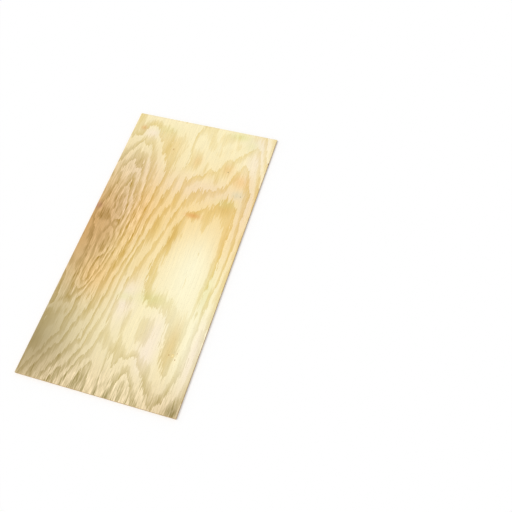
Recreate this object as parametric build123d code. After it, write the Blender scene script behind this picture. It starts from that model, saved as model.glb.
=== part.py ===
from build123d import *
from build123d import SkipClean
import os

# Softwood plywood sheet: five rotary-cut veneers glued with their grain crossed, hot-pressed,
# sanded and sawn square. Millimetres. The origin is at the centre of the underside. +Y runs
# along the length, which is the grain of both face veneers, +X runs across the sheet, and +Z
# points up out of the good face.

# Sawn size, the common 4 by 8 foot sheet
WIDTH = 48 * IN
LENGTH = 96 * IN

# Veneers as pressed and sanded. With both crossbands they add up to 23/32 inch.
BACK_VENEER = 2.9
CROSSBAND = 4.6
CENTRE_VENEER = 3.26
FACE_VENEER = 2.9

# Edges as the saw, the sanding belt and handling leave them
CORNER_RADIUS = 1.2
FACE_ARRIS = 0.4
BACK_ARRIS = 0.6

# The lay-up from the underside up. It is balanced about the centre, so the sheet stays flat.
LAY_UP = (BACK_VENEER, CROSSBAND, CENTRE_VENEER, CROSSBAND, FACE_VENEER)


def sawn_outline():
    """The sheet seen from above: a true rectangle with its corners worn a little round."""
    return RectangleRounded(WIDTH, LENGTH, CORNER_RADIUS)


def pressed_panel():
    """One solid, ply on ply, whose sawn sides keep the glue lines as edges."""
    outline = sawn_outline()
    # Cleaning would merge the plies' side faces into one and lose the glue lines.
    with SkipClean():
        panel = Part()
        height = 0
        for thickness in LAY_UP:
            panel += extrude(Pos(0, 0, height) * outline, thickness)
            height += thickness
    return panel


def ease_arrises(panel):
    """Takes the sharp edge off both faces all round, a little more off the rougher back."""
    panel = chamfer(panel.faces().sort_by(Axis.Z)[-1].edges(), FACE_ARRIS)
    return chamfer(panel.faces().sort_by(Axis.Z)[0].edges(), BACK_ARRIS)


sheet = ease_arrises(pressed_panel())
sheet.label = "plywood_sheet"

os.makedirs("parts", exist_ok=True)
export_step(sheet, f"parts/{sheet.label}.step")
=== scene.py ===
"""A 4 by 8 foot sheet of softwood plywood that lies flat with its good face up.

The sheet is five rotary-cut pine veneers, glued with their grain crossed, sanded and sawn square.
Lengths are metres in the part's own frame, unless a name or a comment says millimetres.
"""

import logging
import math
from abc import ABC, abstractmethod
from collections.abc import Callable, Sequence
from dataclasses import dataclass
from enum import Enum
from functools import cached_property

import bmesh
import bpy
import numpy as np
from mathutils import Matrix, Vector


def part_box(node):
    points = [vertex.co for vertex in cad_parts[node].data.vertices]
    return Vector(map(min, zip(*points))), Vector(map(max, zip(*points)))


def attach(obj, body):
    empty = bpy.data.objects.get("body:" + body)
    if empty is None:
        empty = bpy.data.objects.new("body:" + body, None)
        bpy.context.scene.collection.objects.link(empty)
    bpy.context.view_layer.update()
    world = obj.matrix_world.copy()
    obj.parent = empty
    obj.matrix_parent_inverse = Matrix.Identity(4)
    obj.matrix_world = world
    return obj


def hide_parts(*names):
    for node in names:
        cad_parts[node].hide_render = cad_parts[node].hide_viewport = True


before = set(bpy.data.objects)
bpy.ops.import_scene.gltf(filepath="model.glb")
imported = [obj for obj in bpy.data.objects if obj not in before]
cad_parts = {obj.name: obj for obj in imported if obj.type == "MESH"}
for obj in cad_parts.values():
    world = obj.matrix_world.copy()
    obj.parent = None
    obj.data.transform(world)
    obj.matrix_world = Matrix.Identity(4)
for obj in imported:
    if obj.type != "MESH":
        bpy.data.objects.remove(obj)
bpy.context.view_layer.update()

NODE = "plywood_sheet"
BODY = "root"
MM = 0.001
WHITE = (1.0, 1.0, 1.0, 1.0)
# Points that are nearer to each other than this count as level.
LEVEL = 0.01 * MM
# A face is part of the good or the back face when the upright part of its normal is more than this.
FACE_TILT = 0.35
# A sawn side that leans upwards by more than this has been pushed in.
PUSHED_TILT = 0.1
# Edges that fold by more than this stay sharp in the shading.
SHARP_FOLD = math.radians(25)
# What a noise node gives on average.
NOISE_MIDDLE = 0.5
# What makes a mix node mix colours. Its inputs 0, 6 and 7 are then the share of the second colour,
# the first colour and the second, and its output 2 is the mix.
COLOUR = {"out": 2, "data_type": "RGBA"}
# The ring field is worked out for this many batches of points, one after another, to spare memory.
BATCHES = 16

Point = tuple[float, float]
Size = tuple[float, float, float]
Socket = bpy.types.NodeSocket
MeshPart = bmesh.types.BMVert | bmesh.types.BMEdge | bmesh.types.BMFace
# What a finish comes to: its colour, its roughness and the height of its fine relief, if any.
Coat = tuple[Socket, Socket | float, Socket | None]
log = logging.getLogger("plywood")


def linear(code: str) -> tuple[float, float, float, float]:
    """Turn an sRGB hex colour into linear light, by the sRGB standard's own curve.

    Args:
        code: the colour as "#RRGGBB".

    Returns:
        Red, green, blue and an alpha of 1.
    """
    parts = [int(code[i : i + 2], 16) / 255 for i in (1, 3, 5)]
    light = [c / 12.92 if c <= 0.04045 else ((c + 0.055) / 1.055) ** 2.4 for c in parts]
    return (light[0], light[1], light[2], 1.0)


def read_all(items: bpy.types.bpy_prop_collection, name: str, kind: type = np.float32) -> np.ndarray:
    """Read one number from each of a mesh's items, or a vector from each.

    Args:
        items: the points, faces or face corners.
        name: the property, such as "co".
        kind: how the mesh stores its numbers.

    Returns:
        The numbers in a row, or one row for each vector.
    """
    width = 3 if name in ("co", "normal") else 1
    values = np.empty(len(items) * width, kind)
    items.foreach_get(name, values)
    return values.reshape(-1, 3).astype(float) if width == 3 else values


class Graph:
    """The shader nodes of one material or of the world."""

    def __init__(self, tree: bpy.types.NodeTree) -> None:
        """Empty the tree and hold it."""
        self.tree = tree
        self.tree.nodes.clear()

    def add(
        self, kind: str, sockets: dict | None = None, out: int | str = 0, **settings: object
    ) -> Socket | None:
        """Add one node with its settings, values and links.

        Args:
            kind: the node's type, without "ShaderNode".
            sockets: for each input, by name or number, a value or the socket that feeds it.
            out: the output to hand back, by name or number.
            **settings: the node's own settings, such as its operation.

        Returns:
            The chosen output, or nothing where the node has none.
        """
        node = self.tree.nodes.new("ShaderNode" + kind)
        for name, value in settings.items():
            setattr(node, name, value)
        for name, value in (sockets or {}).items():
            if isinstance(value, bpy.types.NodeSocket):
                self.tree.links.new(value, node.inputs[name])
            else:
                node.inputs[name].default_value = value
        return node.outputs[out] if node.outputs else None

    @cached_property
    def place(self) -> Socket:
        """Where each point is, in object coordinates."""
        return self.add("TexCoord", out="Object")

    def grain_noise(self, size: Size, detail: float = 2.0, distortion: float = 0.0) -> Socket:
        """Add noise drawn out along the grain.

        Args:
            size: how large one streak is across, along and up.
            detail: how many finer layers it has.
            distortion: how far it is warped.

        Returns:
            The noise, about NOISE_MIDDLE on average.
        """
        drawn = self.add("Mapping", {"Vector": self.place, "Scale": tuple(1 / side for side in size)})
        return self.add(
            "TexNoise", {"Vector": drawn, "Scale": 1.0, "Detail": detail, "Distortion": distortion}
        )


def new_material(name: str) -> tuple[bpy.types.Material, Graph]:
    """Make a material that has no nodes yet.

    Args:
        name: what it is called.

    Returns:
        The material and its nodes.
    """
    material = bpy.data.materials.new(name)
    material.use_nodes = True
    return material, Graph(material.node_tree)


class WoodTone(Enum):
    """What pale earlywood looks like in each tone. Some tones also serve as painted light and shade."""

    SAPWOOD = "#FCEFC2"
    CREAM = "#FFF8D4"
    BLUSH = "#FBEBD6"
    ROSY = "#F3D9BC"
    LEAFY = "#E9E4A4"
    AMBER = "#F3C67F"
    HONEY = "#F8D896"
    GOLD = "#EAC97C"
    HEARTWOOD = "#D0A467"
    RESIN = "#EDAF68"
    DULL = "#E6CEA3"
    OLIVE = "#9A8A5C"
    GREYED = "#DCD3B4"
    BRUISED = "#B98468"


@dataclass(frozen=True)
class Ring:
    """A line drawn along a growth ring on a veneer, where the lathe knife cut through it.

    level: counts the rings. A whole number is the middle of dark latewood, a half that of pale
        earlywood.
    line: its points in millimetres from the middle of the sheet, across and along.
    """

    level: float
    line: Sequence[Point]


@dataclass(frozen=True)
class SoftArea:
    """A soft area of a veneer where latewood is darker or fainter, or less clean, partly painted shade.

    at, reach: its middle and how far it spreads across and along, in millimetres.
    amount: in the middle there is 1 + amount times as much of what the area changes.
    """

    at: Point
    reach: Point
    amount: float


@dataclass(frozen=True)
class Wash:
    """A soft area of a veneer where the wood takes another tone; some washes are painted light and
    shade.

    tone: the tone.
    at, reach: its middle and how far it spreads across and along, in millimetres.
    amount: how far the wood goes towards the tone in the middle.
    """

    tone: WoodTone
    at: Point
    reach: Point
    amount: float


@dataclass(frozen=True)
class Knot:
    """A small tight knot.

    at, width, length: its middle and its size, in millimetres.
    heart, rim: its two colours.
    waves, raggedness: how many waves its outline has, and how far they go, as a share of its radius.
    outer_edge, heart_edge: where knot and heart start and are whole, in radii from the middle.
    turns, turn_shades: how close its own rings are, and how dark and pale they make it.
    """

    at: Point
    width: float
    length: float
    heart: str = "#8A5A30"
    rim: str = "#5E3A1E"
    waves: float = 1.6
    raggedness: float = 0.7
    outer_edge: Point = (1.5, 1.1)
    heart_edge: Point = (1.05, 0.75)
    turns: float = 16.0
    turn_shades: Point = (0.86, 1.04)

    def lay_over(self, graph: Graph, colour: Socket) -> Socket:
        """Lay the knot over the wood's colour.

        Args:
            graph: the material's nodes.
            colour: the wood's colour so far.

        Returns:
            The colour with the knot in it.
        """
        middle = (-self.at[0] * MM, -self.at[1] * MM, 0.0)
        moved = graph.add("VectorMath", {0: graph.place, 1: middle}, operation="ADD")
        size = (2 / (self.width * MM), 2 / (self.length * MM), 0.0)
        scaled = graph.add("VectorMath", {0: moved, 1: size}, operation="MULTIPLY")
        away = graph.add("VectorMath", {0: scaled}, out="Value", operation="LENGTH")
        ragged = graph.add("TexNoise", {"Vector": scaled, "Scale": self.waves, "Detail": 2.0})
        edge = graph.add("Math", {0: ragged, 1: self.raggedness, 2: away}, operation="MULTIPLY_ADD")
        inside, heart = (
            graph.add(
                "MapRange",
                {"Value": edge, "From Min": start, "From Max": whole},
                interpolation_type="SMOOTHSTEP",
            )
            for start, whole in (self.outer_edge, self.heart_edge)
        )
        wood = graph.add("Mix", {0: heart, 6: linear(self.rim), 7: linear(self.heart)}, **COLOUR)
        turned = graph.add("Math", {0: edge, 1: self.turns}, operation="MULTIPLY")
        wave = graph.add("Math", {0: turned}, operation="SINE")
        dark, pale = self.turn_shades
        shade = graph.add("MapRange", {"Value": wave, "From Min": -1.0, "To Min": dark, "To Max": pale})
        wood = graph.add("VectorMath", {0: wood, "Scale": shade}, operation="SCALE")
        return graph.add("Mix", {0: inside, 6: colour, 7: wood}, **COLOUR)


# The good face's growth rings, traced ring by ring, from the pale island outwards.
GOOD_FACE_RINGS = (
    # the pale island right of the middle, and its edge
    Ring(0.5, ((215, 240), (215, 100), (180, -300))),
    Ring(0.45, ((360, 330), (395, 60), (375, -250), (385, -380))),
    Ring(0.45, ((280, 60), (280, -300))),
    Ring(0.75, ((156, 240), (150, 300), (258, 302), (287, 190), (322, 262), (347, 382), (370, 400),
        (392, 385), (437, 273), (468, 62), (463, -190), (446, -300), (450, -460), (446, -510),
        (424, -548), (378, -465), (328, -476), (284, -400), (250, -410), (225, -345), (200, -345),
        (130, -385), (104, -370), (80, -130), (96, 10), (138, 125), (156, 240))),
    # the golden ring round it, and where it stops
    Ring(1.0, ((128, 300), (42, -150), (68, -360), (100, -430), (160, -455), (225, -440), (270, -470),
        (315, -540), (370, -570), (395, -640), (424, -930))),
    Ring(1.0, ((165, 352), (225, 375), (285, 370), (305, 300), (298, 235))),
    Ring(1.0, ((330, 430), (370, 480), (420, 470), (466, 320), (490, 60), (442, -590))),
    Ring(1.25, ((62, 200), (34, -60), (4, -190), (32, -385), (92, -500), (150, -508), (197, -490),
        (305, -610), (334, -821), (385, -890), (410, -985), (424, -996), (462, -800), (464, -560),
        (500, -190), (508, 80), (497, 440), (463, 546), (385, 555), (350, 545), (328, 470), (235, 440),
        (195, 375), (150, 370), (128, 350), (62, 200))),
    # the pale ring outside it
    Ring(1.5, ((86, 345), (90, 290), (46, 200), (-8, -120), (-22, -380), (20, -520), (60, -545),
        (130, -545), (190, -525), (228, -570), (262, -640), (306, -850), (365, -990), (422, -1066),
        (470, -940), (482, -600), (508, -498), (497, -330), (523, -150), (531, 194), (521, 425),
        (500, 545), (470, 585), (420, 605), (360, 590), (202, 432), (86, 345))),
    Ring(1.5, ((-60, -400), (-66, -630), (-12, -805))),
    Ring(1.5, ((60, -560), (48, -775))),
    Ring(1.5, ((150, -800), (255, -850))),
    Ring(1.6, ((95, -813), (116, -872))),
    # the second dark ring, with islands of its own inside the bend
    Ring(2.0, ((52, 390), (-8, 0), (-112, -390), (-112, -600), (-95, -780), (-60, -835), (60, -852),
        (141, -882), (195, -872), (280, -960), (328, -1065), (381, -1120), (419, -1190))),
    Ring(2.0, ((52, 390), (100, 465), (165, 530), (260, 590), (310, 600), (345, 640), (420, 850),
        (448, 885), (470, 850), (530, 625), (560, 141), (558, -165), (524, -400), (517, -875),
        (482, -1083), (428, -1165))),
    Ring(2.0, ((48, -880), (42, -965))),
    Ring(2.0, ((-120, -820), (-150, -950), (-225, -1050), (-262, -1205))),
    Ring(1.95, ((130, -610), (135, -760))),
    Ring(1.95, ((200, -610), (195, -760))),
    Ring(1.95, ((-10, -630), (20, -790))),
    Ring(1.9, ((-22, -468), (-28, -500))),
    Ring(2.05, ((-21, -929), (-6, -1205))),
    # what lies inside its bend at the near end
    Ring(1.5, ((-116, -890), (-80, -1000), (-52, -1205))),
    Ring(1.5, ((-95, -950), (-180, -1060), (-207, -1154), (-240, -1205))),
    Ring(1.5, ((-48, -929), (-26, -1200))),
    Ring(1.0, ((-124, -1030), (-150, -1190))),
    Ring(1.0, ((-124, -1030), (-90, -1190))),
    # the next pale ring
    Ring(2.5, ((-27, 247), (-22, 130), (-35, 50), (-98, -130), (-140, -350), (-158, -820),
        (-289, -1200))),
    Ring(2.5, ((-27, 247), (28, 379), (52, 535), (150, 655), (240, 630), (320, 690), (345, 730),
        (368, 850), (390, 900), (430, 940), (460, 910), (565, 670), (587, 488), (578, 400), (588, 0),
        (552, -310), (566, -400), (550, -637), (572, -860), (550, -1030), (465, -1215))),
    Ring(2.6, ((155, 712), (205, 722))),
    Ring(2.5, ((130, -935), (165, -925), (195, -950), (242, -1053), (345, -1210))),
    Ring(2.5, ((130, -935), (90, -960), (62, -1000), (42, -1200))),
    Ring(2.5, ((16, -980), (25, -1200))),
    # the third dark ring
    Ring(3.0, ((0, 450), (-72, 225), (-163, -253), (-166, -600), (-200, -850), (-272, -1085),
        (-300, -1120), (-335, -1210))),
    Ring(3.0, ((0, 450), (18, 605), (60, 622), (76, 675), (155, 760), (262, 800), (296, 835),
        (300, 880), (375, 950), (430, 1040), (475, 1080), (505, 1072), (574, 817), (606, 540))),
    Ring(2.85, ((215, 755), (240, 672))),
    Ring(3.0, ((280, 905), (280, 860))),
    Ring(3.0, ((605, 215), (592, -274), (602, -380), (583, -620), (604, -950), (580, -1120),
        (545, -1165))),
    Ring(3.0, ((150, -985), (72, -1210))),
    Ring(3.0, ((150, -985), (212, -1050), (290, -1195))),
    Ring(3.4, ((128, -1085), (138, -1200))),
    Ring(3.9, ((168, -1080), (168, -1190))),
    Ring(3.4, ((207, -1105), (212, -1190))),
    # the pale ring that opens out towards the far end
    Ring(3.5, ((-45, 626), (-36, 526), (-95, 355), (-133, 150), (-137, 25), (-193, -350), (-187, -500),
        (-240, -890), (-282, -1005), (-363, -1106), (-405, -1212))),
    Ring(3.5, ((-45, 626), (-20, 685), (68, 742), (112, 870), (150, 890), (200, 868), (240, 890),
        (310, 975), (348, 978), (440, 1110), (490, 1130), (515, 1092), (599, 820))),
    Ring(3.55, ((150, 830), (205, 815))),
    Ring(3.55, ((-30, 1070), (5, 1040), (45, 1060), (62, 1000), (20, 985), (-30, 1000))),
    Ring(3.6, ((150, 1000), (220, 1040), (290, 1105), (360, 1110), (390, 1150), (400, 1210))),
    Ring(3.6, ((140, 1110), (140, 1160), (172, 1190), (215, 1195), (255, 1180), (300, 1205))),
    Ring(3.6, ((100, 960), (150, 935), (250, 925))),
    # dark islands at the far end
    Ring(3.95, ((-36, 925), (20, 925), (-20, 860), (50, 850), (-5, 790), (45, 775))),
    Ring(3.95, ((163, 1148), (200, 1075))),
    Ring(3.95, ((205, 1168), (255, 1134), (308, 1168))),
    Ring(3.9, ((95, 1042), (138, 1012))),
    Ring(3.85, ((308, 1072), (338, 1072))),
    Ring(3.85, ((170, 965), (205, 955), (200, 935))),
    Ring(3.9, ((122, 840), (124, 812))),
    Ring(3.85, ((126, 796), (128, 760))),
    Ring(3.95, ((76, 1126), (76, 1112))),
    # the fourth dark ring
    Ring(4.0, ((-58, 630), (-145, 270), (-160, 0), (-212, -350), (-255, -850), (-428, -1210))),
    Ring(4.0, ((-58, 630), (-38, 730))),
    Ring(4.0, ((520, 1205), (606, 900))),
    Ring(4.5, ((-75, 780), (-125, 600), (-174, 300), (-191, -100), (-235, -340), (-265, -745),
        (-325, -812), (-358, -975), (-468, -1212))),
    Ring(4.4, ((-298, -780), (-270, -870))),
    Ring(4.5, ((-75, 780), (-64, 950), (-75, 1050), (-120, 1115), (-190, 1120), (-400, 1195),
        (-500, 1208))),
    Ring(4.3, ((-60, 1130), (-40, 1190))),
    Ring(4.5, ((548, 1200), (602, 975))),
    # the fifth, a broad tan patch at the far end
    Ring(5.0, ((-600, 1000), (-531, 1020), (-494, 1110), (-450, 1160), (-400, 1155), (-335, 1040),
        (-230, 960), (-202, 900), (-154, 700), (-203, 320), (-219, -100), (-280, -400), (-294, -650),
        (-347, -738), (-379, -906), (-447, -1020), (-512, -1212))),
    Ring(4.78, ((-380, 1150), (-300, 1130), (-190, 1055), (-145, 1050), (-125, 960), (-134, 800))),
    Ring(5.2, ((-400, 1095), (-380, 1045), (-312, 960), (-290, 880), (-215, 745))),
    Ring(5.0, ((-585, 1180), (-572, 1150))),
    Ring(5.5, ((-600, 905), (-500, 990), (-480, 1040), (-440, 1080), (-348, 972), (-215, 670),
        (-202, 610), (-250, 220), (-265, -40), (-318, -370), (-358, -480), (-350, -670), (-386, -770),
        (-399, -891), (-455, -975), (-550, -1208))),
    # the sixth
    Ring(6.0, ((-600, 740), (-482, 950), (-388, 942), (-362, 885), (-290, 600), (-268, 400),
        (-326, -290), (-408, -560), (-436, -830), (-503, -1030), (-590, -1212))),
    Ring(6.5, ((-590, 640), (-560, 745), (-478, 910), (-430, 850), (-400, 850), (-372, 800),
        (-300, 400), (-312, -64), (-342, -280), (-388, -440))),
    # the left side, where the rings nest inside each other
    Ring(7.0, ((-600, 560), (-497, 777), (-465, 775), (-410, 800), (-388, 785), (-341, 467),
        (-313, 388), (-326, -100), (-386, -417), (-430, -510), (-470, -520), (-503, -495), (-530, -264),
        (-524, -130), (-592, 200), (-528, 520), (-565, 630))),
    Ring(7.0, ((-465, 765), (-432, 668))),
    Ring(7.5, ((-520, 640), (-489, 732), (-462, 640), (-397, 615), (-357, 312))),
    Ring(7.5, ((-480, 630), (-483, 525))),
    Ring(7.5, ((-534, 428), (-525, 340), (-486, 262))),
    Ring(7.5, ((-545, 300), (-577, 150))),
    Ring(7.5, ((-330, 205), (-348, 75), (-345, -140), (-352, -185), (-388, -238), (-400, -410),
        (-432, -490), (-460, -475), (-483, -400), (-478, -243), (-518, 30), (-512, 75), (-430, 116),
        (-390, 112), (-348, 75))),
    Ring(8.0, ((-420, 585), (-486, 395), (-487, 345), (-462, 280), (-470, 240), (-505, 212),
        (-512, 165), (-470, 148))),
    Ring(8.0, ((-535, 200), (-541, 140))),
    Ring(8.0, ((-420, 585), (-358, 220))),
    Ring(8.5, ((-426, 505), (-462, 325))),
    Ring(8.5, ((-426, 505), (-374, 190))),
    Ring(8.5, ((-447, 270), (-432, 140))),
    Ring(9.0, ((-428, 380), (-424, 300), (-388, 195))),
    Ring(8.0, ((-395, 85), (-420, 88), (-445, 70), (-466, 30), (-471, -20), (-462, -412), (-447, -442),
        (-424, -420), (-415, -375), (-415, -238), (-378, -170), (-357, -80), (-362, 20), (-395, 85))),
    Ring(8.5, ((-440, -20), (-434, 47), (-415, 62), (-399, 52), (-369, -80), (-378, -133), (-427, -210),
        (-436, -255), (-432, -410))),
    Ring(8.5, ((-440, -20), (-455, -90), (-441, -160))),
    Ring(9.0, ((-415, 20), (-412, -150))),
    # the left edge
    Ring(6.5, ((-592, 600), (-573, 457), (-594, 330))),
    Ring(6.5, ((-592, 20), (-556, -222))),
    Ring(7.0, ((-535, -270), (-595, -290))),
    Ring(6.5, ((-560, -345), (-557, -427), (-572, -480), (-538, -640), (-500, -655), (-475, -648))),
    Ring(6.0, ((-604, -400), (-592, -660))),
    Ring(7.0, ((-503, -500), (-498, -545), (-518, -595), (-540, -612))),
    Ring(7.4, ((-484, -535), (-482, -578))),
    Ring(7.0, ((-590, -705), (-541, -745), (-505, -692), (-455, -692))),
    Ring(7.0, ((-525, -745), (-530, -800), (-594, -843))),
    Ring(7.0, ((-590, -860), (-568, -912))),
    Ring(6.6, ((-470, -720), (-455, -770), (-490, -835), (-450, -850))),
    Ring(6.6, ((-530, -880), (-510, -930))),
    Ring(7.0, ((-600, -985), (-528, -975))),
    Ring(6.6, ((-590, -1040), (-541, -1038))),
    Ring(7.0, ((-600, -1090), (-575, -1130), (-600, -1180))),
)

# Most washes are the wood's own tones; the marked ones are painted light and painted shade.
GOOD_FACE_WASHES_AND_PAINTED_LIGHT = (
    Wash(WoodTone.HONEY, (260, 360), (620, 400), 0.8),
    # Painted shade over the heartwood's own tone: the wood darker down the left.
    Wash(WoodTone.HEARTWOOD, (-650, 60), (350, 680), 1.0),
    Wash(WoodTone.HEARTWOOD, (-430, 110), (135, 380), 0.65),
    Wash(WoodTone.HONEY, (-250, -150), (110, 420), 0.6),
    Wash(WoodTone.AMBER, (-80, 330), (170, 260), 0.3),
    # Painted shade: the near left corner darker and olive.
    Wash(WoodTone.OLIVE, (-700, -1120), (420, 620), 1.0),
    Wash(WoodTone.OLIVE, (-560, -1110), (240, 210), 0.8),
    # Painted shade: the near end duller and darker.
    Wash(WoodTone.DULL, (-150, -1330), (620, 380), 0.85),
    Wash(WoodTone.DULL, (520, -1240), (280, 260), 1.0),
    Wash(WoodTone.HONEY, (-220, 930), (110, 130), 0.35),
    Wash(WoodTone.HONEY, (500, 60), (120, 260), 0.4),
    Wash(WoodTone.HONEY, (-10, -80), (110, 240), 0.35),
    # Painted light over pale sapwood: the wood paler right of the middle.
    Wash(WoodTone.CREAM, (330, -160), (150, 330), 0.9),
    Wash(WoodTone.CREAM, (480, -600), (190, 380), 0.9),
    Wash(WoodTone.BLUSH, (-60, -480), (75, 170), 0.8),
    Wash(WoodTone.BLUSH, (240, -850), (70, 140), 0.7),
    Wash(WoodTone.BLUSH, (570, -780), (50, 260), 0.7),
    Wash(WoodTone.BLUSH, (470, 1150), (120, 70), 0.6),
    Wash(WoodTone.BLUSH, (-435, 1040), (60, 60), 0.7),
    Wash(WoodTone.GOLD, (85, 110), (34, 120), 0.9),
    Wash(WoodTone.GOLD, (400, 465), (80, 80), 0.8),
    Wash(WoodTone.HONEY, (480, 190), (26, 170), 0.6),
    Wash(WoodTone.GOLD, (395, -740), (55, 190), 0.6),
    Wash(WoodTone.GOLD, (-62, 165), (36, 120), 0.9),
    Wash(WoodTone.ROSY, (150, 590), (420, 110), 0.5),
    Wash(WoodTone.ROSY, (-330, 330), (110, 230), 0.5),
    Wash(WoodTone.ROSY, (-380, 690), (170, 130), 0.45),
    Wash(WoodTone.AMBER, (-370, -350), (140, 170), 0.6),
    Wash(WoodTone.AMBER, (450, 735), (80, 75), 0.8),
    Wash(WoodTone.AMBER, (-240, 250), (110, 320), 0.6),
    Wash(WoodTone.ROSY, (560, 480), (60, 300), 0.5),
    Wash(WoodTone.AMBER, (310, 830), (50, 60), 0.5),
    Wash(WoodTone.AMBER, (35, 850), (40, 60), 0.4),
    Wash(WoodTone.GOLD, (160, 735), (60, 35), 0.4),
    Wash(WoodTone.GOLD, (-70, -200), (60, 130), 0.4),
    Wash(WoodTone.LEAFY, (320, 1175), (90, 40), 0.8),
    Wash(WoodTone.LEAFY, (440, 1100), (60, 60), 0.6),
    Wash(WoodTone.LEAFY, (-320, 1100), (110, 45), 0.35),
    Wash(WoodTone.LEAFY, (130, -430), (110, 50), 0.7),
    Wash(WoodTone.LEAFY, (500, -280), (40, 160), 0.5),
    Wash(WoodTone.LEAFY, (-70, -460), (70, 40), 0.5),
    Wash(WoodTone.LEAFY, (400, 505), (90, 40), 0.4),
    Wash(WoodTone.BLUSH, (510, 960), (80, 200), 0.6),
    Wash(WoodTone.BLUSH, (240, -680), (80, 150), 0.6),
    Wash(WoodTone.RESIN, (175, 335), (60, 22), 0.75),
    Wash(WoodTone.GREYED, (455, 605), (48, 36), 0.6),
    # Painted shade: the near right corner darker.
    Wash(WoodTone.OLIVE, (575, -1190), (50, 55), 0.4),
    Wash(WoodTone.BRUISED, (-592, 240), (28, 30), 0.8),
    Wash(WoodTone.RESIN, (-528, 1076), (24, 22), 0.6),
)

GOOD_FACE_STRESSES = (
    SoftArea((200, 1030), (650, 320), -0.4),
    SoftArea((-470, 0), (230, 900), 0.75),
    SoftArea((-590, -120), (70, 260), -0.35),
    SoftArea((-300, -420), (60, 110), -0.3),
    SoftArea((-45, 700), (40, 70), -0.85),
    SoftArea((-440, 60), (60, 130), -0.35),
    SoftArea((-540, -850), (120, 200), -0.4),
    SoftArea((0, -1220), (520, 190), 0.85),
    SoftArea((560, -1180), (90, 130), 0.3),
    SoftArea((300, -560), (380, 260), -0.3),
    SoftArea((520, -740), (140, 240), -0.3),
    SoftArea((-240, 150), (110, 260), 0.3),
)

# Greyed latewood. The broad areas down the left and along the near end are painted shade.
GOOD_FACE_STAINS_AND_PAINTED_SHADE = (
    SoftArea((-560, 760), (200, 260), -0.6),
    SoftArea((240, -600), (500, 260), -0.5),
    SoftArea((560, -1180), (120, 200), -0.7),
    SoftArea((560, -760), (130, 250), -0.7),
    SoftArea((-560, -50), (380, 900), -0.75),
    SoftArea((0, -1250), (900, 450), -1.0),
)

GOOD_FACE_KNOTS_AND_NICK_MARK = (
    Knot((431, -805), 22, 26, "#FBEBB4", "#F1D48C"),
    Knot((404, -805), 8, 10, "#B98E50", "#C7A060"),
    Knot((458, -782), 7, 9, "#B98E50", "#C7A060"),
    Knot((458, -829), 8, 10, "#B98E50", "#C7A060"),
    Knot((316, 803), 7, 9, "#6B5136", "#6B5136"),
    Knot((486, 597), 6, 8, "#7C6F5C", "#7C6F5C"),
    Knot((-200, 915), 13, 18, "#E0BC80", "#D2A868"),
    # Not a knot: a dark patch laid over the nick in the right arris.
    Knot((608, 963), 9, 15, "#6A4A32", "#7A5A3C"),
)

# The back is one long flat-cut figure, taken off nearer the heart of the log, with small tight knots.
BACK_FACE_RINGS = (
    Ring(1.0, ((-60, -380), (-10, -420), (60, -360), (90, -120), (70, 160), (20, 300), (-40, 150),
        (-70, -120))),
    Ring(0.5, ((10, -250), (20, -60), (10, 120))),
    Ring(2.0, ((-120, -600), (0, -690), (130, -560), (175, -150), (150, 250), (60, 470), (-90, 330),
        (-140, -80))),
    Ring(3.0, ((-190, -800), (-20, -930), (190, -780), (250, -200), (230, 350), (110, 680), (-130, 560),
        (-210, 0))),
    Ring(4.0, ((-245, -1210), (-262, -700), (-270, 0), (-215, 640), (-120, 900), (60, 950), (200, 780),
        (300, 200), (320, -300), (270, -900), (240, -1210))),
    Ring(5.0, ((-330, -1210), (-335, -500), (-330, 300), (-280, 900), (-210, 1210))),
    Ring(5.0, ((330, -1210), (385, -500), (380, 200), (300, 850), (230, 1210))),
    Ring(6.5, ((-420, -1210), (-410, -300), (-400, 500), (-370, 1210))),
    Ring(6.5, ((450, -1210), (470, -400), (455, 400), (400, 1210))),
    Ring(9.0, ((-540, -1210), (-520, -200), (-525, 600), (-510, 1210))),
    Ring(9.0, ((560, -1210), (570, -300), (560, 500), (540, 1210))),
)

BACK_FACE_WASHES = (
    Wash(WoodTone.HONEY, (0, 0), (380, 1500), 0.55),
    Wash(WoodTone.HEARTWOOD, (300, 700), (180, 420), 0.45),
    Wash(WoodTone.DULL, (-480, -500), (260, 700), 0.6),
    Wash(WoodTone.BLUSH, (-300, 820), (200, 420), 0.5),
    Wash(WoodTone.OLIVE, (520, -1000), (160, 360), 0.5),
)

BACK_FACE_KNOTS = (
    Knot((-305, 540), 36, 44),
    Knot((218, -870), 30, 38),
    Knot((430, 120), 22, 28),
    Knot((-470, -760), 26, 32),
    Knot((-60, 1010), 12, 16),
)


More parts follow.
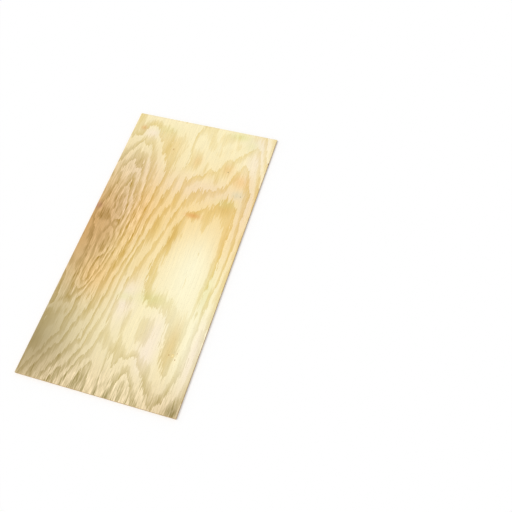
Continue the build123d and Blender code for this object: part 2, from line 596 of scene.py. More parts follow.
@dataclass(frozen=True)
class RingField:
    """A smooth sheet of ring levels, laid through drawn lines as a thin plate is through pegs.

    rings: the lines.
    peg_spacing: how far apart along a line its pegs are, in millimetres.
    peg_grain: how much a length along the grain counts in that, against one across it.
    unit: how long a millimetre is for the plate.
    grain: how much a length along the grain counts for the plate, against one across it.
    rounding: how far the plate rounds off at a peg, in its own units.
    slack: how far it may pass a peg by.
    """

    rings: Sequence[Ring]
    peg_spacing: float = 55.0
    peg_grain: float = 0.7
    unit: float = 0.01
    grain: float = 0.42
    rounding: float = 0.10
    slack: float = 0.02

    def pegs(self) -> tuple[np.ndarray, np.ndarray]:
        """Set pegs along every line.

        Returns:
            The pegs' places and their levels.
        """
        places, levels = [], []
        for ring in self.rings:
            line = np.array(ring.line, float)
            runs = np.hypot(np.diff(line[:, 0]), self.peg_grain * np.diff(line[:, 1]))
            gone = np.concatenate([[0.0], np.cumsum(runs)])
            count = max(2, round(gone[-1] / self.peg_spacing) + 1)
            stops = np.linspace(0.0, gone[-1], count)
            places.append(np.stack([np.interp(stops, gone, line[:, i]) for i in (0, 1)], axis=1))
            levels.append(np.full(count, ring.level))
        return np.concatenate(places), np.concatenate(levels)

    def squeezed(self, places: np.ndarray) -> np.ndarray:
        """Scale places so that the plate is stiffer along the grain."""
        return places * (self.unit, self.unit * self.grain)

    def pulls_at(self, places: np.ndarray, pegs: np.ndarray) -> np.ndarray:
        """Find how strongly each peg pulls at each place, both squeezed."""
        gaps = places[:, None, :] - pegs[None, :, :]
        return -np.sqrt((gaps**2).sum(axis=2) + self.rounding**2)

    def levels_at(self, places: np.ndarray) -> np.ndarray:
        """Find the ring level at each place.

        Args:
            places: one row for each place, in millimetres across and along.

        Returns:
            One level for each place.
        """
        spots, levels = self.pegs()
        pegs = self.squeezed(spots)
        count = len(pegs)
        system = np.zeros((count + 3, count + 3))
        system[:count, :count] = self.pulls_at(pegs, pegs) + self.slack * np.eye(count)
        system[:count, count] = 1.0
        system[:count, count + 1 :] = pegs
        system[count:, :count] = system[:count, count:].T
        weights = np.linalg.solve(system, np.concatenate([levels, np.zeros(3)]))
        found = []
        for batch in np.array_split(self.squeezed(places), BATCHES):
            tilt = weights[count] + batch @ weights[count + 1 :]
            found.append(self.pulls_at(batch, pegs) @ weights[:count] + tilt)
        return np.concatenate(found)


def fade(places: np.ndarray, at: Point, reach: Point) -> np.ndarray:
    """Find how strongly a soft area holds at each place, from 1 in its middle to 0 far off."""
    away = (places - np.array(at)) / np.array(reach)
    return np.exp(-(away**2).sum(axis=1))


def layered(areas: Sequence[SoftArea], places: np.ndarray) -> np.ndarray:
    """Lay soft areas over each other.

    Args:
        areas: the areas.
        places: one row for each place, in millimetres across and along.

    Returns:
        What is left of 1 at each place, or what it has grown to.
    """
    left = np.ones(len(places))
    for area in areas:
        left *= 1.0 + area.amount * fade(places, area.at, area.reach)
    return left


@dataclass(frozen=True)
class VeneerFigure:
    """What one face veneer shows.

    rings: lines along its growth rings.
    washes: where the wood takes other tones, some of them painted light and shade.
    stresses: where latewood is darker or fainter.
    stains: where less of the latewood is clean, and the rest has greyed, partly as painted shade.
    knots: its knots.
    """

    rings: Sequence[Ring]
    washes: Sequence[Wash]
    stresses: Sequence[SoftArea]
    stains_and_shade: Sequence[SoftArea]
    knots: Sequence[Knot]

    def tones_at(self, places: np.ndarray) -> np.ndarray:
        """Find what the washes multiply the wood's colour by.

        Args:
            places: one row for each place, in millimetres across and along.

        Returns:
            Red, green, blue and alpha for each place, in linear light.
        """
        plain = np.array(linear(WoodTone.SAPWOOD.value))
        tones = np.ones((len(places), 4))
        for wash in self.washes:
            strength = wash.amount * fade(places, wash.at, wash.reach)[:, None]
            tones += strength * (np.array(linear(wash.tone.value)) / plain - tones)
        return tones


class Surface(ABC):
    """What all finishes have in common: one shader, fed by what the finish says of itself.

    name: what its material is called.
    specular: how strongly it mirrors.
    relief, relief_strength: how deep its fine relief is, which is only shaded, and how strong.
    """

    name: str
    specular: float
    relief: float = 0.0
    relief_strength: float = 0.0

    @abstractmethod
    def paint(self, graph: Graph) -> Coat:
        """Work out what the shader is fed."""

    def make(self) -> bpy.types.Material:
        """Build the material.

        Returns:
            The material, ready to be worn.
        """
        material, graph = new_material(self.name)
        colour, roughness, height = self.paint(graph)
        sockets = {"Base Color": colour, "Roughness": roughness, "Specular IOR Level": self.specular}
        if height is not None:
            relief = {"Height": height, "Strength": self.relief_strength, "Distance": self.relief}
            sockets["Normal"] = graph.add("Bump", relief)
        shader = graph.add("BsdfPrincipled", sockets)
        graph.add("OutputMaterial", {"Surface": shader})
        return material


@dataclass(frozen=True)
class SandedPineVeneer(Surface):
    """Rotary-cut southern pine veneer, belt-sanded and unfinished.

    The lathe peels the log like a roll of paper, so the knife runs in and out of the growth rings
    and leaves broad wandering bands. Pale soft earlywood darkens slowly to hard latewood and then
    stops at a ragged line. Sanding leaves it matt, a little smoother on the latewood.
    """

    name: str
    knots: Sequence[Knot]
    earlywood: str = WoodTone.SAPWOOD.value
    latewood: str = "#EDD793"
    # Greyed latewood, partly stained wood and partly painted shade on the good face.
    stained_and_shaded_latewood: str = "#E3D7A8"
    resin_canal: str = "#A9824C"
    earlywood_roughness: float = 0.68
    latewood_roughness: float = 0.56
    specular: float = 0.3
    # The knife tears the fibres where it crosses a ring. For each size of torn tongue these are its
    # width, its length and how far through a ring it reaches.
    tears: Sequence[Size] = (
        (31 * MM, 310 * MM, 0.50),
        (11 * MM, 110 * MM, 0.72),
        (4.5 * MM, 50 * MM, 0.32),
        (1.5 * MM, 60 * MM, 0.16),
    )
    # How far the middle of latewood is through a ring.
    latewood_middle: float = 0.75
    # The first growth is paler still, as wood and as a painted highlight along the ring's edge:
    # how far through the ring it ends, and its share of latewood.
    first_growth_and_highlight: Point = (0.14, -0.20)
    # Then it darkens in two steps: how far through each starts and ends, and the share that it adds.
    darkening: Sequence[Size] = ((0.44, 0.57, 0.72), (0.58, 0.95, 0.45))
    # And then it stops: how far through that starts, and the share that it takes off.
    stop: Point = (0.965, -1.37)
    # Flecks break the rings up where latewood is strong: their size, the strengths at which they set
    # in and are whole, and how much latewood they add or take.
    fleck: Size = (9 * MM, 90 * MM, 9 * MM)
    fleck_strengths: Point = (1.0, 1.6)
    fleck_depth: float = 4.0
    # Patches where all rings are fainter or darker: their size, the noise levels at which they are
    # faintest and darkest, and what they multiply the rings' strength by there.
    patch: Size = (60 * MM, 420 * MM, 60 * MM)
    patch_levels: Point = (0.3, 0.7)
    patch_strengths: Point = (0.7, 1.15)
    # Streaks and fibres, the levels at which their two noises together are darkest and palest, and
    # what they multiply the wood's colour by there. Single fibres are 0.04 mm wide. They are drawn
    # this coarse so that they show close up.
    streak: Size = (7 * MM, 260 * MM, 7 * MM)
    fibre: Size = (1.1 * MM, 55 * MM, 1.1 * MM)
    fibre_levels: Point = (0.7, 1.3)
    fibre_shades: Point = (0.93, 1.05)
    # Resin canals are 0.2 mm wide and are drawn wider for the same reason. They show where their
    # noise is above the first of the two levels.
    canal: Size = (0.9 * MM, 16 * MM, 0.9 * MM)
    canal_levels: Point = (0.72, 0.80)
    canal_darkness: float = 0.45
    # The fine relief that is only shaded: how high latewood stands in it, against the fibres, then
    # its depth and its strength.
    latewood_height: float = 0.6
    relief: float = 0.25 * MM
    relief_strength: float = 0.35

    def ring_phase(self, graph: Graph) -> Socket:
        """Find where in its ring each point lies.

        Args:
            graph: the material's nodes.

        Returns:
            0 where earlywood starts, about 0.5 where it darkens, and 1 where latewood ends.
        """
        level = graph.add("Attribute", out="Fac", attribute_name="ring")
        for width, length, share in self.tears:
            torn = graph.grain_noise((width, length, width))
            shift = graph.add("Math", {0: torn, 1: -NOISE_MIDDLE}, operation="ADD")
            level = graph.add("Math", {0: shift, 1: share, 2: level}, operation="MULTIPLY_ADD")
        level = graph.add("Math", {0: level, 1: self.latewood_middle}, operation="ADD")
        return graph.add("Math", {0: level}, operation="FRACT")

    def latewood_share(self, graph: Graph, phase: Socket) -> Socket:
        """Find how much each point is latewood.

        Args:
            graph: the material's nodes.
            phase: where in its ring each point lies.

        Returns:
            1 in plain latewood, 0 in plain earlywood and less in the palest first growth, which holds a
            painted highlight.
        """
        # The first growth holds a painted highlight, paler than plain earlywood.
        end, palest = self.first_growth_and_highlight
        share = graph.add("MapRange", {"Value": phase, "From Max": end, "To Min": palest, "To Max": 0.0})
        for start, end, rise in self.darkening:
            step = graph.add(
                "MapRange",
                {"Value": phase, "From Min": start, "From Max": end, "To Max": rise},
                interpolation_type="SMOOTHSTEP",
            )
            share = graph.add("Math", {0: share, 1: step}, operation="ADD")
        start, fall = self.stop
        drop = graph.add("MapRange", {"Value": phase, "From Min": start, "To Min": 0.0, "To Max": fall})
        return graph.add("Math", {0: share, 1: drop}, operation="ADD")

    def flecked(self, graph: Graph, late: Socket, strength: Socket) -> Socket:
        """Break strong latewood up with flecks along the grain.

        Args:
            graph: the material's nodes.
            late: the share of latewood.
            strength: how strong the latewood is.

        Returns:
            The share of latewood with the flecks in it.
        """
        noise = graph.grain_noise(self.fleck)
        fleck = graph.add("Math", {0: noise, 1: -NOISE_MIDDLE}, operation="ADD")
        start, whole = self.fleck_strengths
        depth = graph.add(
            "MapRange",
            {"Value": strength, "From Min": start, "From Max": whole, "To Max": self.fleck_depth},
        )
        return graph.add("Math", {0: fleck, 1: depth, 2: late}, operation="MULTIPLY_ADD")

    def ring_colour(self, graph: Graph, late: Socket, strength: Socket) -> Socket:
        """Colour the rings, in the tone that the wood has at each point, painted light and shade
        included.

        Args:
            graph: the material's nodes.
            late: the share of latewood.
            strength: how strong the latewood is.

        Returns:
            The colour.
        """
        patchy = graph.grain_noise(self.patch)
        low, high = self.patch_levels
        fainter, darker = self.patch_strengths
        uneven = graph.add(
            "MapRange",
            {"Value": patchy, "From Min": low, "From Max": high, "To Min": fainter, "To Max": darker},
        )
        strength = graph.add("Math", {0: strength, 1: uneven}, operation="MULTIPLY")
        dark = graph.add("Math", {0: late, 1: strength}, operation="MULTIPLY")
        # Greyed latewood, partly stained wood and partly painted shade down the left and the near end.
        stain_and_shade = graph.add("Attribute", out="Fac", attribute_name="stain_and_shade")
        latewood = graph.add(
            "Mix", {0: stain_and_shade, 6: linear(self.latewood), 7: linear(self.stained_and_shaded_latewood)}, **COLOUR
        )
        wood = graph.add(
            "Mix", {0: dark, 6: linear(self.earlywood), 7: latewood}, clamp_factor=False, **COLOUR
        )
        # The wood's tone, with the washes' painted light and shade in it.
        tone = graph.add("Attribute", out="Color", attribute_name="tone")
        return graph.add("Mix", {0: 1.0, 6: wood, 7: tone}, blend_type="MULTIPLY", **COLOUR)

    def paint(self, graph: Graph) -> Coat:
        """Lay rings, fibres, resin canals and knots over each other.

        Args:
            graph: the material's nodes.

        Returns:
            Its colour, its roughness and the height of its relief.
        """
        late = self.latewood_share(graph, self.ring_phase(graph))
        strength = graph.add("Attribute", out="Fac", attribute_name="ring_strength")
        late = self.flecked(graph, late, strength)
        wood = self.ring_colour(graph, late, strength)
        streaks = graph.grain_noise(self.streak)
        fibres = graph.grain_noise(self.fibre, detail=3.0)
        both = graph.add("Math", {0: streaks, 1: fibres}, operation="ADD")
        low, high = self.fibre_levels
        dark, pale = self.fibre_shades
        shade = graph.add(
            "MapRange",
            {"Value": both, "From Min": low, "From Max": high, "To Min": dark, "To Max": pale},
        )
        wood = graph.add("VectorMath", {0: wood, "Scale": shade}, operation="SCALE")
        canals = graph.grain_noise(self.canal, detail=0.0)
        start, whole = self.canal_levels
        dash = graph.add(
            "MapRange",
            {"Value": canals, "From Min": start, "From Max": whole, "To Max": self.canal_darkness},
        )
        wood = graph.add("Mix", {0: dash, 6: wood, 7: linear(self.resin_canal)}, **COLOUR)
        for knot in self.knots:
            wood = knot.lay_over(graph, wood)
        roughness = graph.add(
            "MapRange",
            {"Value": late, "To Min": self.earlywood_roughness, "To Max": self.latewood_roughness},
        )
        height = graph.add(
            "Math", {0: late, 1: self.latewood_height, 2: fibres}, operation="MULTIPLY_ADD"
        )
        return wood, roughness, height


@dataclass(frozen=True)
class SawnSideGrain(Surface):
    """Veneer sawn along its fibres, as the face and centre plies are on the long edges.

    The blade leaves long pale fibres lying along the edge, with thin darker latewood lines.
    """

    name: str = "sawn_side_grain"
    pale: str = "#EBCF98"
    dark: str = "#C99F62"
    line: Size = (90 * MM, 90 * MM, 0.7 * MM)
    # The noise levels at which a line sets in and is whole.
    line_levels: Point = (0.38, 0.66)
    roughness: float = 0.78
    specular: float = 0.25
    relief: float = 0.3 * MM
    relief_strength: float = 0.5

    def paint(self, graph: Graph) -> Coat:
        """Draw the lines.

        Args:
            graph: the material's nodes.

        Returns:
            Its colour, its roughness and the height of its relief.
        """
        lines = graph.grain_noise(self.line, detail=4.0)
        start, whole = self.line_levels
        share = graph.add("MapRange", {"Value": lines, "From Min": start, "From Max": whole})
        wood = graph.add("Mix", {0: share, 6: linear(self.pale), 7: linear(self.dark)}, **COLOUR)
        return wood, self.roughness, lines


@dataclass(frozen=True)
class SawnEndGrain(Surface):
    """Veneer sawn across its fibres, as the crossbands are on the long edges.

    The cut fibre ends soak up light, so it is darker and rougher than side grain. Thin slanting
    lines are its growth rings, and short dark nicks are the cracks that peeling opened.
    """

    name: str = "sawn_end_grain"
    pale: str = "#D9B47A"
    dark: str = "#A87A45"
    crack_colour: str = "#5C3F24"
    ring: Size = (14 * MM, 14 * MM, 1.2 * MM)
    crack: Size = (4 * MM, 4 * MM, 6 * MM)
    # Pores and fibre ends are under 0.1 mm. They are drawn this coarse so that they show.
    pore: float = 0.5 * MM
    # How much the pores count against the rings, and the levels of both at which the wood is palest
    # and darkest.
    pore_share: float = 0.5
    wood_levels: Point = (0.58, 0.95)
    # The noise levels at which a crack sets in and is whole, and how dark it is then.
    crack_levels: Point = (0.68, 0.74)
    crack_darkness: float = 0.7
    roughness: float = 0.86
    specular: float = 0.2
    relief: float = 0.4 * MM
    relief_strength: float = 0.6

    def paint(self, graph: Graph) -> Coat:
        """Lay rings, pores and cracks over each other.

        Args:
            graph: the material's nodes.

        Returns:
            Its colour, its roughness and the height of its relief.
        """
        rings = graph.grain_noise(self.ring, detail=3.0, distortion=0.6)
        fine = graph.add("TexNoise", {"Vector": graph.place, "Scale": 1 / self.pore, "Detail": 2.0})
        mixed = graph.add("Math", {0: fine, 1: self.pore_share, 2: rings}, operation="MULTIPLY_ADD")
        low, high = self.wood_levels
        share = graph.add("MapRange", {"Value": mixed, "From Min": low, "From Max": high})
        wood = graph.add("Mix", {0: share, 6: linear(self.pale), 7: linear(self.dark)}, **COLOUR)
        cracks = graph.grain_noise(self.crack, detail=1.0)
        start, whole = self.crack_levels
        opened = graph.add(
            "MapRange",
            {"Value": cracks, "From Min": start, "From Max": whole, "To Max": self.crack_darkness},
        )
        wood = graph.add("Mix", {0: opened, 6: wood, 7: linear(self.crack_colour)}, **COLOUR)
        return wood, self.roughness, mixed


@dataclass(frozen=True)
class PhenolicGlueLine(Surface):
    """Cured phenolic resin between the plies: a thin hard dark brown line with a dull gloss.

    It is paler where the wood beside it soaked it up.
    """

    name: str = "phenolic_glue"
    resin: str = "#5A3A26"
    soaked: str = "#8C6540"
    # How long one run of soaked wood is, and the noise levels at which it sets in and is whole.
    run: float = 9 * MM
    run_levels: Point = (0.4, 0.65)
    roughness: float = 0.5
    specular: float = 0.4

    def paint(self, graph: Graph) -> Coat:
        """Let the line run from dark resin to soaked wood and back.

        Args:
            graph: the material's nodes.

        Returns:
            Its colour and its roughness. It has no relief.
        """
        runs = graph.add("TexNoise", {"Vector": graph.place, "Scale": 1 / self.run, "Detail": 3.0})
        start, whole = self.run_levels
        share = graph.add("MapRange", {"Value": runs, "From Min": start, "From Max": whole})
        glue = graph.add("Mix", {0: share, 6: linear(self.resin), 7: linear(self.soaked)}, **COLOUR)
        return glue, self.roughness, None


class Finish(Enum):
    """The sheet's material slots, in the order that it wears them."""

    GOOD_FACE = 0
    BACK_FACE = 1
    SIDE_GRAIN = 2
    END_GRAIN = 3
    GLUE = 4


class MapBand(Enum):
    """Where each side of the sheet lies on its colour map: from and to across, then from and to up."""

    GOOD_FACE = (0.0, 1.0, 0.0, 0.455)
    BACK_FACE = (0.0, 1.0, 0.465, 0.865)
    RIGHT_EDGE = (0.0, 1.0, 0.875, 0.907)
    LEFT_EDGE = (0.0, 1.0, 0.917, 0.949)
    FAR_END = (0.0, 0.495, 0.959, 0.995)
    NEAR_END = (0.505, 1.0, 0.959, 0.995)


def corners(name: str) -> tuple[Vector, Vector]:
    """Find the lowest and the highest corner of a CAD node."""
    low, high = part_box(name)
    return Vector(low), Vector(high)


@dataclass
class PlywoodSheet:
    """The sheet: five plies with glue between them, eased all round.

    low, high: the corners of its box.
    good_face, back_face: what its face veneers show.
    plies: the plies' thicknesses from the underside up.
    glue_line: how much of the edge each glue line takes.
    glue_groove: how far the saw left the glue set back from the edge.
    corner_radius, face_arris, back_arris: how far saw and sander round its edges.
    corner_steps, arris_steps: how many faces each rounding is made of.
    columns, rows: how many faces the good face has across and along.
    earlywood_hollow: how far sanding takes soft earlywood below the latewood.
    nick_at: where the nick in the right arris is, across and along.
    nick_reach: how far it runs to each side of there.
    nick_push: which way and how far the wood was pushed in.
    nick_cuts: where the arris has points to push, as shares of the reach.
    piece: the sheet's object, once it is pressed.
    """

    low: Vector
    high: Vector
    good_face: VeneerFigure
    back_face: VeneerFigure
    plies: Sequence[float] = (2.9 * MM, 4.6 * MM, 3.26 * MM, 4.6 * MM, 2.9 * MM)
    glue_line: float = 0.18 * MM
    glue_groove: float = 0.12 * MM
    corner_radius: float = 1.2 * MM
    face_arris: float = 0.4 * MM
    back_arris: float = 0.6 * MM
    corner_steps: int = 3
    arris_steps: int = 2
    columns: int = 150
    rows: int = 200
    earlywood_hollow: float = 0.12 * MM
    nick_at: Point = (609.6 * MM, 963 * MM)
    nick_reach: float = 9 * MM
    nick_push: Size = (-1.6 * MM, 0.0, -0.64 * MM)
    nick_cuts: Sequence[float] = (-1.0, -0.45, 0.0, 0.45, 1.0)
    piece: bpy.types.Object | None = None

    def build(self) -> bpy.types.Object:
        """Model the sheet and dress it.

        Returns:
            The finished object.
        """
        piece = self.piece = self.press()
        self.ease_edges()
        self.nick_edge()
        self.groove_glue_lines()
        bpy.ops.object.mode_set(mode="OBJECT")
        self.mark_figure()
        self.hollow_earlywood()
        self.wear_finishes()
        self.lay_out_map()
        bpy.ops.object.shade_smooth_by_angle(angle=SHARP_FOLD)
        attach(piece, BODY)
        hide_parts(NODE)
        return piece

    def press(self) -> bpy.types.Object:
        """Lay one gridded veneer and raise it ply by ply, with a thin course at each glue line.

        Returns:
            The sheet, still in edit mode.
        """
        bpy.ops.object.select_all(action="DESELECT")
        middle = (self.low + self.high) / 2
        bpy.ops.mesh.primitive_grid_add(
            x_subdivisions=self.columns,
            y_subdivisions=self.rows,
            size=1.0,
            location=(middle.x, middle.y, self.low.z),
        )
        piece = bpy.context.active_object
        piece.name = piece.data.name = NODE + "_dressed"
        bpy.ops.transform.resize(value=(self.high.x - self.low.x, self.high.y - self.low.y, 1.0))
        bpy.ops.object.transform_apply(location=True, rotation=True, scale=True)
        bpy.ops.object.mode_set(mode="EDIT")
        bpy.ops.mesh.select_all(action="SELECT")
        for rise in self.courses():
            bpy.ops.mesh.extrude_region_move(TRANSFORM_OT_translate={"value": (0.0, 0.0, rise)})
        bpy.ops.mesh.select_all(action="SELECT")
        bpy.ops.mesh.normals_make_consistent(inside=False)
        return piece

    def courses(self) -> list[float]:
        """Split the thickness into plies and glue lines.

        Returns:
            The height of each, from the underside up.
        """
        last = len(self.plies) - 1
        rises = []
        for index, ply in enumerate(self.plies):
            glued_sides = 1 if index in (0, last) else 2
            rises.append(ply - glued_sides * self.glue_line / 2)
            if index < last:
                rises.append(self.glue_line)
        return rises

    @cached_property
    def glue_heights(self) -> list[float]:
        """The height of the middle of each glue line."""
        return [self.low.z + float(h) for h in np.cumsum(self.plies[:-1])]

    def in_glue(self, height: float) -> bool:
        """Tell whether a height lies within a glue line."""
        return any(abs(height - middle) < self.glue_line / 2 for middle in self.glue_heights)

    def select(self, kind: str, wanted: Callable[[MeshPart], bool]) -> None:
        """Select just the points, edges or faces for which a test holds.

        Args:
            kind: "VERT", "EDGE" or "FACE".
            wanted: the test.
        """
        bpy.ops.mesh.select_mode(type=kind)
        bpy.ops.mesh.select_all(action="DESELECT")
        mesh = bmesh.from_edit_mesh(self.piece.data)
        for part in {"VERT": mesh.verts, "EDGE": mesh.edges, "FACE": mesh.faces}[kind]:
            if wanted(part):
                part.select = True
        mesh.select_flush_mode()
        bmesh.update_edit_mesh(self.piece.data)

    def is_corner(self, edge: bmesh.types.BMEdge) -> bool:
        """Tell whether an edge stands upright on one of the sheet's corners."""
        spots = [v.co for v in edge.verts]
        return all(self.high.x - abs(p.x) < LEVEL and self.high.y - abs(p.y) < LEVEL for p in spots)

    def is_rim(self, edge: bmesh.types.BMEdge, height: float) -> bool:
        """Tell whether an edge runs round the face at a height."""
        level = all(abs(v.co.z - height) <= LEVEL for v in edge.verts)
        return level and any(abs(face.normal.z) < FACE_TILT for face in edge.link_faces)

    def ease_edges(self) -> None:
        """Round the four sawn corners, then break the sharp edge of both faces all round."""
        self.select("EDGE", self.is_corner)
        bpy.ops.mesh.bevel(offset=self.corner_radius, segments=self.corner_steps, affect="EDGES")
        for height, width in ((self.high.z, self.face_arris), (self.low.z, self.back_arris)):
            self.select("EDGE", lambda edge, level=height: self.is_rim(edge, level))
            bpy.ops.mesh.bevel(offset=width, segments=self.arris_steps, affect="EDGES")

    def is_struck(self, vert: bmesh.types.BMVert) -> bool:
        """Tell whether a point is part of what the nick pushes in.

        Args:
            vert: a point.

        Returns:
            True on the arris, between the two outermost cuts.
        """
        side, along = self.nick_at
        on_arris = vert.co.x > side - self.face_arris - LEVEL
        high_up = vert.co.z > self.high.z - self.plies[-1] / 2
        return on_arris and high_up and abs(vert.co.y - along) < self.nick_reach - LEVEL

    def nick_edge(self) -> None:
        """Crush the small nick into the good face's right arris."""
        for cut in self.nick_cuts:
            bpy.ops.mesh.select_all(action="SELECT")
            bpy.ops.mesh.bisect(
                plane_co=(0.0, self.nick_at[1] + cut * self.nick_reach, 0.0), plane_no=(0.0, 1.0, 0.0)
            )
        self.select("VERT", self.is_struck)
        bpy.ops.transform.translate(value=self.nick_push)

    def groove_glue_lines(self) -> None:
        """Set each glue line back from the sawn edge, where the saw chipped the brittle glue out."""
        self.select("FACE", lambda face: self.in_glue(face.calc_center_median().z))
        bpy.ops.mesh.extrude_region_shrink_fatten(
            TRANSFORM_OT_shrink_fatten={"value": -self.glue_groove}
        )

    def mark_figure(self) -> None:
        """Write each veneer's rings, strength, greying and tone on its points, painted light and shade
        too.
        """
        mesh = self.piece.data
        spots = read_all(mesh.vertices, "co")
        upper = spots[:, 2] > (self.low.z + self.high.z) / 2
        rings, strengths, stains_and_shade = np.empty((3, len(spots)))
        tones = np.empty((len(spots), 4))
        for figure, side in ((self.good_face, upper), (self.back_face, ~upper)):
            places = spots[side, :2] / MM
            rings[side] = RingField(figure.rings).levels_at(places)
            strengths[side] = layered(figure.stresses, places)
            stains_and_shade[side] = 1.0 - layered(figure.stains_and_shade, places)
            tones[side] = figure.tones_at(places)
        for name, values in (("ring", rings), ("ring_strength", strengths), ("stain_and_shade", stains_and_shade)):
            mesh.attributes.new(name, "FLOAT", "POINT").data.foreach_set("value", values)
        mesh.attributes.new("tone", "FLOAT_COLOR", "POINT").data.foreach_set("color", tones.ravel())

    def hollow_earlywood(self) -> None:
        """Sink the good face where its wood is soft, as sanding does."""
        piece = self.piece
        levels = read_all(piece.data.attributes["ring"].data, "value")
        # 0 in the middle of latewood, and 1 in that of earlywood.
        softness = 0.5 - 0.5 * np.cos(2 * np.pi * levels)
        group = piece.vertex_groups.new(name="earlywood")
        rim = self.corner_radius
        for vert, soft in zip(piece.data.vertices, softness, strict=True):
            inside = self.high.x - abs(vert.co.x) > rim and self.high.y - abs(vert.co.y) > rim
            if vert.co.z > self.high.z - LEVEL and inside:
                group.add([vert.index], float(soft), "REPLACE")
        sink = piece.modifiers.new("sanded", "DISPLACE")
        sink.vertex_group = group.name
        sink.direction = "Z"
        sink.mid_level = 0.0
        sink.strength = -self.earlywood_hollow
        bpy.ops.object.modifier_apply(modifier=sink.name)
        piece.vertex_groups.remove(piece.vertex_groups["earlywood"])

    def is_crushed(self, face: bpy.types.MeshPolygon) -> bool:
        """Tell whether a face is one that the nick broke open.

        Args:
            face: a face of the finished sheet.

        Returns:
            True on the faces of the top ply's edge that the nick pushed in.
        """
        side, along = self.nick_at
        pushed_in = face.center.z > self.high.z - self.plies[-1] and face.normal.z > PUSHED_TILT
        near_side = face.center.x > side + 2 * self.nick_push[0]
        return pushed_in and near_side and abs(face.center.y - along) < self.nick_reach

    def finish_of(self, face: bpy.types.MeshPolygon) -> Finish:
        """Choose the finish that a face's place on the sheet calls for.

        Args:
            face: a face of the finished sheet.

        Returns:
            The finish.
        """
        if self.is_crushed(face):
            return Finish.END_GRAIN
        if abs(face.normal.z) > FACE_TILT:
            top = face.center.z > (self.low.z + self.high.z) / 2
            return Finish.GOOD_FACE if top else Finish.BACK_FACE
        if self.in_glue(face.center.z):
            return Finish.GLUE
        ply = sum(height < face.center.z for height in self.glue_heights)
        along_grain = abs(face.normal.x) > abs(face.normal.y)
        lengthwise_ply = ply % 2 == 0
        return Finish.SIDE_GRAIN if along_grain == lengthwise_ply else Finish.END_GRAIN

    def wear_finishes(self) -> None:
        """Give every face its finish."""
        finishes = (
            SandedPineVeneer("sanded_pine_good_face", self.good_face.knots),
            SandedPineVeneer("sanded_pine_back", self.back_face.knots, latewood="#DDB878"),
            SawnSideGrain(),
            SawnEndGrain(),
            PhenolicGlueLine(),
        )
        for finish in finishes:
            self.piece.data.materials.append(finish.make())
        for face in self.piece.data.polygons:
            face.material_index = self.finish_of(face).value

    def lay_out_map(self) -> None:
        """Lay the faces out flat for a colour map, with the thin edges drawn wide so that plies show."""
        mesh = self.piece.data
        owners = read_all(mesh.loops, "vertex_index", np.int32)
        spots = (read_all(mesh.vertices, "co")[owners] - self.low) / np.array(self.high - self.low)
        sizes = read_all(mesh.polygons, "loop_total", np.int32)
        facing = np.repeat(read_all(mesh.polygons, "normal"), sizes, axis=0)
        across, along, up = spots.T
        flat = np.abs(facing[:, 2]) > FACE_TILT
        long_side = ~flat & (np.abs(facing[:, 0]) > np.abs(facing[:, 1]))
        short_side = ~flat & ~long_side
        places = np.zeros((len(owners), 2))
        for band, chosen, u, v in (
            (MapBand.GOOD_FACE, flat & (facing[:, 2] > 0), along, across),
            (MapBand.BACK_FACE, flat & (facing[:, 2] < 0), along, across),
            (MapBand.RIGHT_EDGE, long_side & (facing[:, 0] > 0), along, up),
            (MapBand.LEFT_EDGE, long_side & (facing[:, 0] < 0), along, up),
            (MapBand.FAR_END, short_side & (facing[:, 1] > 0), across, up),
            (MapBand.NEAR_END, short_side & (facing[:, 1] < 0), across, up),
        ):
            left, right, bottom, top = band.value
            places[chosen, 0] = left + (right - left) * u[chosen]
            places[chosen, 1] = bottom + (top - bottom) * v[chosen]
        mesh.uv_layers.new(name="OFBake").data.foreach_set("uv", places.ravel())


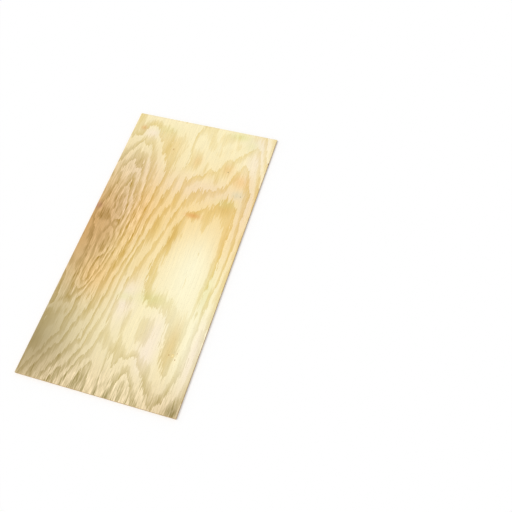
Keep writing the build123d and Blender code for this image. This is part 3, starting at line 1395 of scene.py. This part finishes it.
@dataclass(frozen=True)
class Studio:
    """A plain white floor under soft light from the left, at which a colour renders as it is written.

    floor_size, floor_colour: how wide the floor is, and its paint.
    floor_gap: how far it lies below the sheet, so that the two don't touch.
    sky: the even light from all round. It and the lamp add up to 1 on a level surface.
    lamp_direction: which way the lamp's light goes.
    lamp_spread: how wide the lamp looks, which softens its shadows.
    """

    floor_size: float = 60.0
    floor_colour: str = "#E6E6E6"
    floor_gap: float = 0.2 * MM
    sky: float = 0.6
    lamp_direction: Size = (0.45, 0.22, -0.86)
    lamp_spread: float = math.radians(28)

    def seen(self, graph: Graph) -> Socket:
        """Tell rays that make the picture, straight or mirrored, from those that only light it.

        Args:
            graph: the nodes of the floor or of the world.

        Returns:
            1 for a ray that makes the picture, and 0 for any other.
        """
        camera = graph.add("LightPath", out="Is Camera Ray")
        glossy = graph.add("LightPath", out="Is Glossy Ray")
        through = graph.add("LightPath", out="Is Transmission Ray")
        both = graph.add("Math", {0: camera, 1: glossy}, operation="MAXIMUM")
        return graph.add("Math", {0: both, 1: through}, operation="MAXIMUM")

    def light(self) -> None:
        """Set the even light and hang the lamp."""
        world = bpy.data.worlds.new("studio")
        bpy.context.scene.world = world
        world.use_nodes = True
        graph = Graph(world.node_tree)
        strength = graph.add("MapRange", {"Value": self.seen(graph), "To Min": self.sky, "To Max": 1.0})
        glow = graph.add("Background", {"Color": WHITE, "Strength": strength})
        graph.add("OutputWorld", {"Surface": glow})
        heading = Vector(self.lamp_direction).normalized()
        lamp = bpy.data.lights.new("window", "SUN")
        lamp.energy = (1.0 - self.sky) * math.pi / -heading.z
        lamp.angle = self.lamp_spread
        holder = bpy.data.objects.new("window", lamp)
        holder.rotation_euler = heading.to_track_quat("-Z", "Y").to_euler()
        bpy.context.scene.collection.objects.link(holder)

    def lay_floor(self, height: float) -> None:
        """Lay the floor just under a height.

        Args:
            height: where the sheet rests.
        """
        bpy.ops.object.select_all(action="DESELECT")
        bpy.ops.mesh.primitive_plane_add(
            size=self.floor_size, location=(0.0, 0.0, height - self.floor_gap)
        )
        floor = bpy.context.active_object
        floor.name = floor.data.name = "studio_floor"
        bpy.ops.object.transform_apply(location=True)
        material, graph = new_material("studio_floor")
        matt = graph.add("BsdfDiffuse", {"Color": linear(self.floor_colour)})
        lift = 1.0 - linear(self.floor_colour)[0]
        strength = graph.add("MapRange", {"Value": self.seen(graph), "To Max": lift})
        glow = graph.add("Emission", {"Color": WHITE, "Strength": strength})
        both = graph.add("AddShader", {0: matt, 1: glow})
        graph.add("OutputMaterial", {"Surface": both})
        floor.data.materials.append(material)


@dataclass(frozen=True)
class PhotoCamera:
    """The camera, where it stands for the photograph's view of the sheet.

    place: where it stands.
    heading: its turn about the upright, in degrees, from looking along +Y.
    tilt: how far it looks down from the level.
    roll: its turn about its own axis.
    lens, sensor: in millimetres.
    """

    place: Size = (1.78445, -2.23125, 4.51238)
    heading: float = 23.513
    tilt: float = 60.327
    roll: float = -7.45
    lens: float = 48.32
    sensor: float = 36.0

    def set_up(self) -> None:
        """Make the camera and look through it."""
        data = bpy.data.cameras.new("camera")
        data.lens = self.lens
        data.sensor_width = self.sensor
        camera = bpy.data.objects.new("camera", data)
        turn = Matrix.Rotation(math.radians(self.heading), 4, "Z")
        look = Matrix.Rotation(math.radians(90 - self.tilt), 4, "X")
        lean = Matrix.Rotation(math.radians(self.roll), 4, "Z")
        camera.matrix_world = Matrix.Translation(self.place) @ turn @ look @ lean
        bpy.context.scene.collection.objects.link(camera)
        bpy.context.scene.camera = camera


def main() -> None:
    """Build the sheet, the studio and the camera."""
    logging.basicConfig(level=logging.INFO, format="%(message)s")
    low, high = corners(NODE)
    good_face = VeneerFigure(
        GOOD_FACE_RINGS, GOOD_FACE_WASHES_AND_PAINTED_LIGHT, GOOD_FACE_STRESSES, GOOD_FACE_STAINS_AND_PAINTED_SHADE, GOOD_FACE_KNOTS_AND_NICK_MARK
    )
    back_face = VeneerFigure(BACK_FACE_RINGS, BACK_FACE_WASHES, (), (), BACK_FACE_KNOTS)
    piece = PlywoodSheet(low, high, good_face, back_face).build()
    log.info("%s: %d faces", piece.name, len(piece.data.polygons))
    studio = Studio()
    studio.light()
    studio.lay_floor(low.z)
    log.info("studio: lamp and floor")
    PhotoCamera().set_up()
    log.info("camera: %.0f degrees down", PhotoCamera.tilt)
    bpy.context.scene.view_settings.view_transform = "Standard"


if __name__ == "__main__":
    main()
